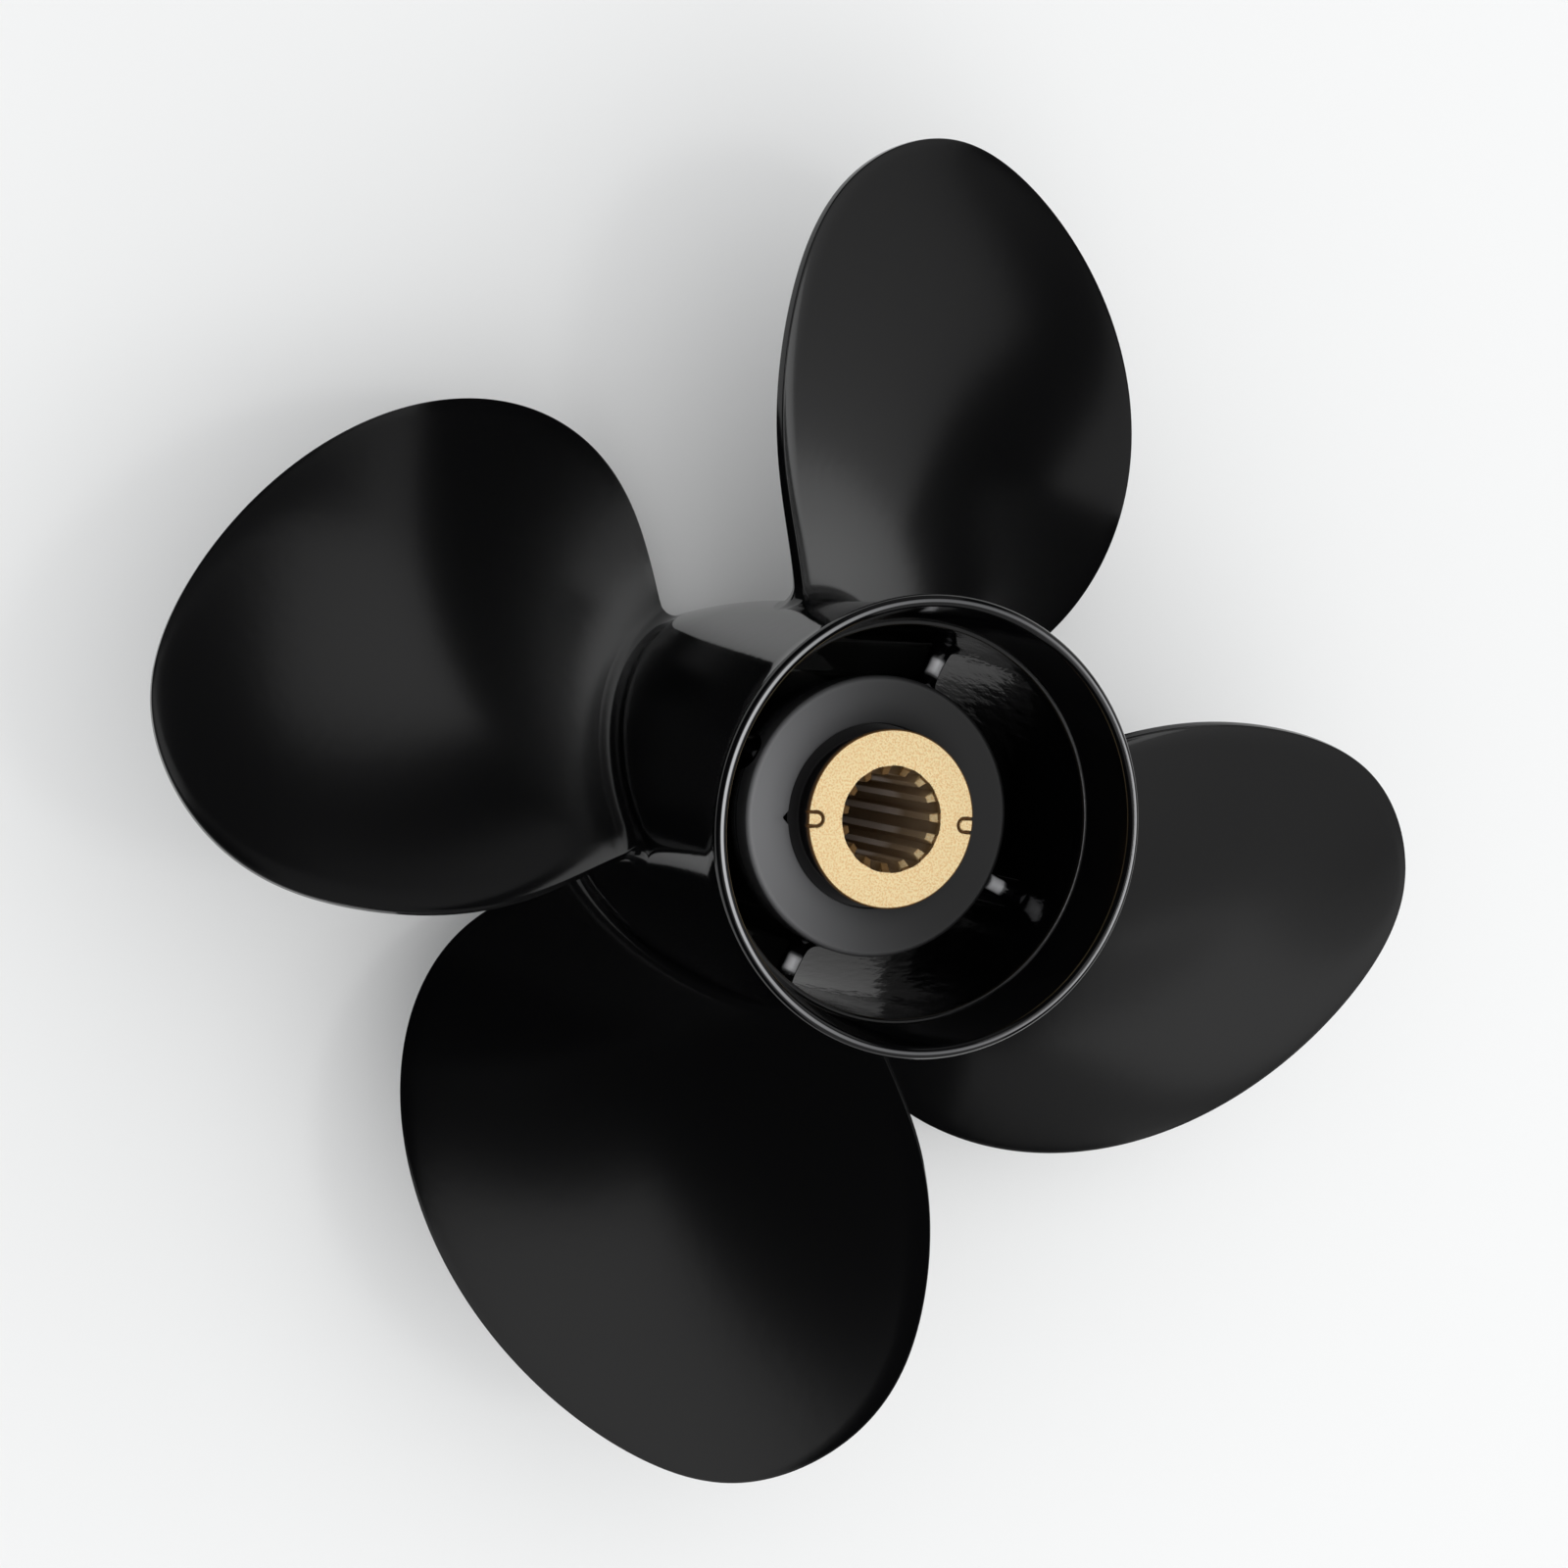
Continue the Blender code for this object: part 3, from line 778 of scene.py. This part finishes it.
def sleeve_profile():
    """Points from the fore end up the bore, over the coned mouth, the face and down outside."""
    top = SLEEVE_FACE
    cone_foot = (SPLINE_TIP_RADIUS, top - SPLINE_MOUTH_DEPTH)
    edge = 0.35 * MM
    bore = run((SPLINE_TIP_RADIUS, SLEEVE_FORE + 1.5 * MM), cone_foot, 24)
    cone = run(cone_foot, (SPLINE_MOUTH_RADIUS, top - 0.1 * MM), 14)[1:]
    mouth = arc((SPLINE_MOUTH_RADIUS + 0.2 * MM, top - 0.15 * MM), 0.15 * MM, 160, 90, 5)
    face = run((SPLINE_MOUTH_RADIUS + 0.4 * MM, top), (LUG_BAND_RADIUS - 0.1 * MM, top), 10)
    lug_band = run((LUG_BAND_RADIUS + 0.1 * MM, top), (FLANGE_RADIUS - 0.45 * MM, top), 40)
    rim = arc((FLANGE_RADIUS - edge, top - edge), edge, 90, 0, 7)
    under = run((FLANGE_RADIUS, top - 0.6 * MM), (FLANGE_RADIUS, COLLAR_TOP), 4)
    body = run((SLEEVE_RADIUS, COLLAR_TOP), (SLEEVE_RADIUS, SLEEVE_FORE + 1 * MM), 6)
    fore = run((SLEEVE_RADIUS - 1 * MM, SLEEVE_FORE), (SLEEVE_FORE_BORE, SLEEVE_FORE), 3)
    return np.concatenate([bore, cone, mouth, face, lug_band, rim, under, body, fore])


print(f"brass face at {SLEEVE_FACE:.4f} m, flange radius {FLANGE_RADIUS:.4f} m")

# %% [markdown]
# Fifteen teeth grip the shaft. A gear could be cut by Booleans, but here a number that runs from 0
# on a tooth to 1 between two teeth says how far the bore's points are pushed out. The face has two
# small lugs, each inside a U-shaped groove, and the same idea cuts them: a depth that depends on
# the distance to a U-shaped line.

# %% Teeth and lugs
SPLINE_TEETH = 15
SPLINE_TURN = 7.2  # angle of the first tooth's middle
FLANK = (0.17, 0.27)  # where a flank starts and ends, in pitches from the tooth's middle
LUG_ANGLES = (1.7, 185.9)
LUG_BEND_RADIUS = 20.3 * MM
LUG_HALF_WIDTH = 1.75 * MM
LUG_GROOVE_DEPTH = 0.9 * MM
LUG_GROOVE_SIDE = (0.25 * MM, 0.50 * MM)  # from the groove's middle line


def spline_depth(turn):
    """0 on a tooth's tip and 1 in a groove, going round: flat, slanted flank, flat."""
    phase = (np.degrees(turn) - SPLINE_TURN) / (360 / SPLINE_TEETH)
    from_tooth = np.abs(phase - np.round(phase))
    return smooth_step(from_tooth, *FLANK)


def lug_groove(radius, turn):
    """Depth of the U groove round each lug: along its two sides and round its inner end."""
    depth = 0.0 * radius * turn
    for angle in LUG_ANGLES:
        aside = turn - math.radians(angle)
        along = radius * np.cos(aside) - LUG_BEND_RADIUS
        across = np.abs(radius * np.sin(aside))
        bend = np.hypot(np.minimum(along, 0.0), across)
        from_line = np.abs(bend - LUG_HALF_WIDTH)
        on_side = (np.cos(aside) > 0) & (radius > LUG_BAND_RADIUS)
        cut = 1 - smooth_step(from_line, *LUG_GROOVE_SIDE)
        depth = np.maximum(depth, on_side * LUG_GROOVE_DEPTH * cut)
    return depth


print("tooth, flank, groove:", spline_depth(np.radians([7.2, 12.5, 19.2])).round(2))

# %% [markdown]
# Now the profile is turned, its bore pushed out between the teeth and its face pressed down along
# the grooves, so the whole sleeve stays one even grid. It takes many columns, because each tooth
# needs its own flanks.

# %% Sleeve grid
SPLINE_ROOT_RADIUS = 13.5 * MM


def sleeve_grid(steps):
    """The profile turned, its bore pushed out between teeth, its face sunk round the lugs."""
    profile = sleeve_profile()
    turn = np.linspace(0.0, 2 * np.pi, steps, endpoint=False)[None, :]
    radius = profile[:, 0][:, None]
    wall = np.maximum(radius, SPLINE_ROOT_RADIUS)
    groove = np.where(radius < SPLINE_ROOT_RADIUS, (wall - radius) * spline_depth(turn), 0.0)
    height = profile[:, 1][:, None] - lug_groove(radius, turn)
    return around_shaft(radius + groove, turn, height)


sleeve_points = sleeve_grid(720)
print("sleeve rows and columns:", sleeve_points.shape[:2])

# %% [markdown]
# The brass changes with its place, and each change is painted light or shade: browner down the bore
# as painted shade, paler on the tips deep inside as painted highlight, and dark along the edges, in
# the grooves and between the teeth as painted shade, heavier on the coned mouth's left side. Each
# mask is worked out from a point's distance to the shaft's axis and its depth below the face.


# %% Brass sleeve
def sleeve_masks(points):
    """Painted bore shade, tip highlight and edge shade, from distance to the axis and depth."""
    radius = from_axis(points)
    depth = SLEEVE_FACE - points[..., 2]
    in_bore = radius < SPLINE_ROOT_RADIUS + 0.05 * MM
    on_tip = radius < SPLINE_TIP_RADIUS + 0.2 * MM
    on_cone = (radius < SPLINE_MOUTH_RADIUS + 0.05 * MM) & (depth < SPLINE_MOUTH_DEPTH)
    at_mouth = (np.abs(radius - SPLINE_MOUTH_RADIUS) < 0.3 * MM) & (depth < 0.6 * MM)
    at_rim = (radius > FLANGE_RADIUS - 0.42 * MM) & (depth < 0.8 * MM)
    in_groove = smooth_step(depth, 0.1 * MM, 0.4 * MM) * (radius > LUG_BAND_RADIUS - 0.1 * MM)
    # Painted shade: the cone's dark edge is heavier on its left side.
    shade_towards_left = 0.2 + 0.7 * smooth_step(-points[..., 0], -9 * MM, -1 * MM)
    between_teeth = in_bore * spline_depth(turn_of(points)) * (depth < 3.5 * MM)
    edges = np.maximum(0.95 * (at_mouth | at_rim) + 0.8 * between_teeth, on_cone * shade_towards_left)
    return {
        "bore": in_bore * smooth_step(depth, 1.6 * MM, 2.1 * MM),
        "tip_highlight": on_tip * smooth_step(depth, 18 * MM, 24 * MM),
        "groove_shade": np.clip(np.maximum(in_groove, edges), 0, 1),
    }


masks = sleeve_masks(sleeve_points)
sleeve = skin("brass_sleeve", sleeve_points, wrap_rows=True, sharp=35, masks=masks)
stands_for(sleeve, "cast_brass", brass, "splined_sleeve")

# %% [markdown]
# A blade is a set of aerofoil sections, each wrapped on a cylinder about the shaft and set at the
# angle that its pitch asks for. Designers give a few numbers at even steps of span, from the root
# to the tip, and smooth curves run through them. The first two tables are in degrees round the
# shaft, the others in metres.

# %% Blade tables
TIP_RADIUS = 177.65 * MM  # just under 14 in across the tips
HALF_WIDTH = (37.3, 40.5, 41.4, 39.9, 36.5, 26.6)
SKEW = (70.7, 70.3, 71.7, 74.6, 79.6, 85.7)
MID_HEIGHT = (0.0476, 0.0536, 0.0617, 0.0710, 0.0806, 0.0889)
PITCH = (0.348, 0.352, 0.348, 0.338, 0.327, 0.317)
MAX_THICKNESS = (0.0125, 0.0103, 0.0085, 0.0067, 0.0049, 0.0024)


def along_span(table, span):
    """A smooth curve through a table given at equal steps of span."""
    steps = np.linspace(0.0, 1.0, len(table))
    return np.polyval(np.polyfit(steps, table, len(table) - 1), span)


print("thickness at half span:", along_span(MAX_THICKNESS, 0.5).round(4), "m")

# %% [markdown]
# A row of the grid is one section. The rows follow the sine of an angle, so that they crowd
# towards the tip, and the outline rounds off there by itself. More rows lie in the root's fillet,
# and the columns crowd at the two thin edges, because that is where the surface bends most.

# %% Blade rows and columns
FACE_FILLET = 4.6 * MM
EDGE_FILLET = 5.6 * MM
FILLET_ROWS = 14
BLADE_ROWS = 110
BLADE_COLUMNS = 288
CROWDING = 0.3  # 0 would space the columns evenly


def blade_spans():
    """Sine of the lift at each row: dense through the root's fillet, then evenly lifted."""
    reach = TIP_RADIUS - BARREL_RADIUS
    round_off = FACE_FILLET * (1 - np.cos(np.linspace(0, np.pi / 2, FILLET_ROWS)))
    fillet = np.arcsin(round_off / reach)
    above = np.linspace(fillet[-1], np.pi / 2, BLADE_ROWS)[1:]
    return np.concatenate([fillet, above])[:, None]


def section_turn():
    """Angle round a section's outline, with the columns crowded towards its two edges."""
    even = np.linspace(0.0, 2 * np.pi, BLADE_COLUMNS, endpoint=False)[None, :]
    return even - CROWDING * np.sin(2 * even)


print("rows:", len(blade_spans()), "columns:", section_turn().size)

# %% [markdown]
# The lowest rows widen into the fillet that joins a blade to the barrel. Each point moves along
# the outline's outward normal. Those normals swing round sharply at the thin edges and would
# crumple the gloss there, so they are eased over their neighbours first.

# %% Blade root
TINY = 1e-9  # the least length that anything is divided by


def change(values):
    """From the column before each point to the column after it."""
    return np.roll(values, -1, axis=1) - np.roll(values, 1, axis=1)


def eased(values):
    """Values averaged with their neighbours along each row, over wider and wider steps."""
    for step in (1, 2, 4, 6):
        values = (np.roll(values, step, axis=1) + 2 * values + np.roll(values, -step, axis=1)) / 4
    return values


def spread_root(radius, across, height, span):
    """Widen the lowest rows by a quarter round, so that the root runs out onto the barrel.

    A point moves along the outline's outward normal, eased so that it fans out evenly round the
    thin edges. At the tip all of a row's points meet and it has no normal, so no length is 0.
    """
    size = EDGE_FILLET + (FACE_FILLET - EDGE_FILLET) * np.abs(np.sin(section_turn()))
    widen = fillet_spread(radius - BARREL_RADIUS, size)
    step_across = change(across)
    step_up = change(height)
    length = np.maximum(np.hypot(step_across, step_up), TINY)
    out_across = eased(step_up / length)
    out_up = eased(-step_across / length)
    length = np.maximum(np.hypot(out_across, out_up), TINY)
    angle = (across + widen * out_across / length) / radius
    height = height + widen * out_up / length
    foot = barrel_radius(height)
    return foot + (TIP_RADIUS - foot) * span, angle, height


print("fillet: face", FACE_FILLET, "m, edge", EDGE_FILLET, "m")

# %% [markdown]
# The section itself: thickest in the middle and thin at the edges, with a slightly hollow
# pressure face and a small cup along the trailing edge, where boat propellers are curled to hold
# the water. It could be modelled from a curved sheet with a Solidify modifier, but that can't
# taper, so both faces are worked out together.

# %% Blade sections
EDGE_THICKNESS = 2.4 * MM
EDGE_ROUNDING = 0.16
EDGE_SQUARENESS = 3.2
FACE_HOLLOW = 0.018
CUP_DEPTH = 1.0 * MM
CUP_WIDTH = 6 * MM


def blade_grid():
    """Points of one blade's skin, a row for each section, from the root to the tip."""
    lift = blade_spans()
    turn = section_turn()
    span = np.sin(lift)
    place = np.cos(turn)
    dome = np.cos(lift) * np.sin(turn)
    radius = BARREL_RADIUS + (TIP_RADIUS - BARREL_RADIUS) * span + 0 * turn
    half = np.radians(along_span(HALF_WIDTH, span)) * np.cos(lift)
    pitch = along_span(PITCH, span)
    slope = np.arctan2(pitch, 2 * np.pi * radius)

    bulge = 1 - place**2
    full = EDGE_THICKNESS + (along_span(MAX_THICKNESS, span) - EDGE_THICKNESS) * bulge
    hollow = FACE_HOLLOW * 2 * half * radius * bulge
    from_edge = half * radius * (1 - place)
    cup = CUP_DEPTH * (1 - np.clip(1 - from_edge / CUP_WIDTH, 0, 1) ** 2) * (1 + place) / 2
    near = np.minimum(np.abs(dome) / EDGE_ROUNDING, 1.0)
    rounded = (1 - (1 - near) ** EDGE_SQUARENESS) ** (1 / EDGE_SQUARENESS)
    camber = (full - EDGE_THICKNESS) / 2 + hollow + cup * np.cos(lift)
    off = np.sign(dome) * full / 2 * rounded - camber

    across = radius * (np.radians(along_span(SKEW, span)) + half * place) - off * np.sin(slope)
    height = along_span(MID_HEIGHT, span) + pitch * half * place / (2 * np.pi) + off * np.cos(slope)
    return spread_root(radius, across, height, span)


print("blade rows and columns:", blade_grid()[0].shape)

# %% [markdown]
# The root is closed inside the barrel's wall. Then one blade is turned to its four places. A mask
# marks the edges, where the sprayed film runs a little smoother.

# %% Blades
BLADE_SINK = 0.8 * MM
EDGE_BAND = (0.90, 0.985)  # of the half width, where the edge's finish starts and is full


def close_root(radius, angle, height):
    """Two rows inside the barrel's wall: one below the root, one where its sides meet."""
    sunk = radius[:1] - BLADE_SINK
    mirrored = -np.arange(BLADE_COLUMNS)
    zip_angle = (angle[:1] + angle[:1, mirrored]) / 2
    zip_height = (height[:1] + height[:1, mirrored]) / 2
    zip_radius = (sunk + sunk[:, mirrored]) / 2
    radius = np.concatenate([zip_radius, sunk, radius])
    angle = np.concatenate([zip_angle, angle[:1], angle])
    height = np.concatenate([zip_height, height[:1], height])
    return radius, angle, height


blade_radius, blade_angle, blade_height = close_root(*blade_grid())
share_out = np.abs(np.cos(section_turn())) + 0 * blade_radius
blade_masks = {"edge": smooth_step(share_out, *EDGE_BAND)}
for number in range(BLADES):
    turned = blade_angle + number * 2 * np.pi / BLADES
    grid = around_shaft(blade_radius, turned, blade_height)
    blade = skin(f"blade_skin_{number + 1}", grid, wrap_rows=False, sharp=50, masks=blade_masks)
    stands_for(blade, "satin_black_paint", satin_paint, f"blade_{number + 1}")

# %% [markdown]
# A pale, dull floor catches the soft shadow. It ends before the soft boxes do, so that all of it is
# lit, and its far edge fades into the pale room. It belongs to the studio and not to the propeller.

# %% Floor
FLOOR_RADIUS = 2.4
FLOOR_CORNERS = 180


def make_floor():
    """One flat face at height 0, its corners evenly round a circle."""
    mesh = bpy.data.meshes.new("floor")
    turn = np.linspace(0.0, 2 * np.pi, FLOOR_CORNERS, endpoint=False)
    corners = FLOOR_RADIUS * np.stack([np.cos(turn), np.sin(turn), 0 * turn], -1)
    mesh.from_pydata(corners.tolist(), [], [list(range(FLOOR_CORNERS))])
    floor = add_object("floor", mesh)
    material, _, _ = new_material("pale_floor", (0.76, 0.76, 0.75), 0.7, specular=0.2)
    mesh.materials.append(material)
    return floor


floor = make_floor()
print("floor:", tuple(round(size, 1) for size in floor.dimensions), "m")

# %% [markdown]
# Gloss black shows its surroundings more than itself, so the light is placed by where each blade
# mirrors it. Three wide soft boxes hang overhead, and a small bright one beside them gives the lip,
# the shoulder and the brass their lit lines. Four upright panels stand round the sides, with dark
# gaps between them, and the gaps are what model the blades.

# %% Soft boxes
TARGET = Vector((0.0, 0.0, 0.08))
SOFT_BOXES = {
    # name: azimuth and tilt from straight up, width and height, in degrees; then brightness
    "overhead": (100, 11, 37, 47, 0.72),
    "overhead_right": (306, 26, 74, 28, 0.55),
    "overhead_front": (247, 27, 44, 20, 0.37),
    "key": (355, 14, 7, 7, 10.0),
    "back_panel": (39, 66, 19, 32, 0.65),
    "left_panel": (82, 65, 34, 33, 0.2),
    "right_panel": (5, 75, 43, 37, 0.43),
    "front_panel": (293, 66, 50, 50, 0.44),
}
BOX_DISTANCE = 3.0


def add_light(name, shape, size):
    """An area light of that shape and size, which the camera itself doesn't see."""
    data = bpy.data.lights.new(name, "AREA")
    data.shape = shape
    data.size, data.size_y = size
    light = add_object(name, data)
    light.visible_camera = False
    return light


def add_soft_box(name, azimuth, tilt, width, height, brightness):
    """A rectangle of light that far from the hub, facing it, sized by how wide it looks.

    An area light's power is its brightness x pi x its area.
    """
    across = 2 * BOX_DISTANCE * math.tan(math.radians(width) / 2)
    along = 2 * BOX_DISTANCE * math.tan(math.radians(height) / 2)
    light = add_light(name, "RECTANGLE", (across, along))
    light.data.energy = brightness * math.pi * across * along
    turn = Euler((math.radians(tilt), 0.0, math.radians(azimuth + 90)))
    light.rotation_euler = turn
    light.location = TARGET + turn.to_matrix() @ Vector((0.0, 0.0, BOX_DISTANCE))


for box_name, box in SOFT_BOXES.items():
    add_soft_box(box_name, *box)
print("soft boxes:", list(SOFT_BOXES))

# %% [markdown]
# The exhaust passages are open at both ends, so their walls mirror the bright table that the
# propeller stands on. A small oval light at the barrel's foot does that work. It lies to one side,
# so that only the walls that are light in the photograph mirror it.

# %% Foot light
FOOT_LIGHT_SIZE = (32 * MM, 60 * MM)
FOOT_LIGHT_RADIUS = 32.2 * MM
FOOT_LIGHT_AZIMUTH = -30
FOOT_LIGHT_BRIGHTNESS = 0.21


def add_foot_light():
    """An oval of light just above the floor, to one side inside the barrel, that shines up."""
    light = add_light("foot_light", "ELLIPSE", FOOT_LIGHT_SIZE)
    area = math.pi * light.data.size * light.data.size_y / 4
    light.data.energy = FOOT_LIGHT_BRIGHTNESS * math.pi * area
    light.rotation_euler = (math.pi, 0.0, math.radians(FOOT_LIGHT_AZIMUTH))
    turn = Euler((0.0, 0.0, math.radians(FOOT_LIGHT_AZIMUTH)))
    light.location = turn.to_matrix() @ Vector((FOOT_LIGHT_RADIUS, 0.0, 2 * MM))


add_foot_light()
print(f"foot light: {FOOT_LIGHT_RADIUS:.4f} m from the shaft's axis")

# %% [markdown]
# Round the soft boxes the room is pale to the floor and to the camera, but nearly dark to a
# mirror: a studio drapes black cloth beside glossy work for the same reason.

# %% World
ROOM_COLOUR = (0.92, 0.93, 0.95)
ROOM_PALE = 1.0
ROOM_MIRRORED = 0.02


def make_world():
    """Pale for the camera and for diffuse light, dark for what the gloss mirrors."""
    world = bpy.data.worlds.new("studio")
    bpy.context.scene.world = world
    world.use_nodes = True
    tree = world.node_tree
    ground = tree.nodes["Background"]
    ground.inputs["Color"].default_value = (*ROOM_COLOUR, 1.0)
    path = tree.nodes.new("ShaderNodeLightPath")
    strength = blend_by(tree, path.outputs["Is Glossy Ray"], ROOM_PALE, ROOM_MIRRORED)
    tree.links.new(strength, ground.inputs["Strength"])


make_world()
bpy.context.scene.view_settings.view_transform = "Standard"
print("room brightness, pale and mirrored:", ROOM_PALE, ROOM_MIRRORED)
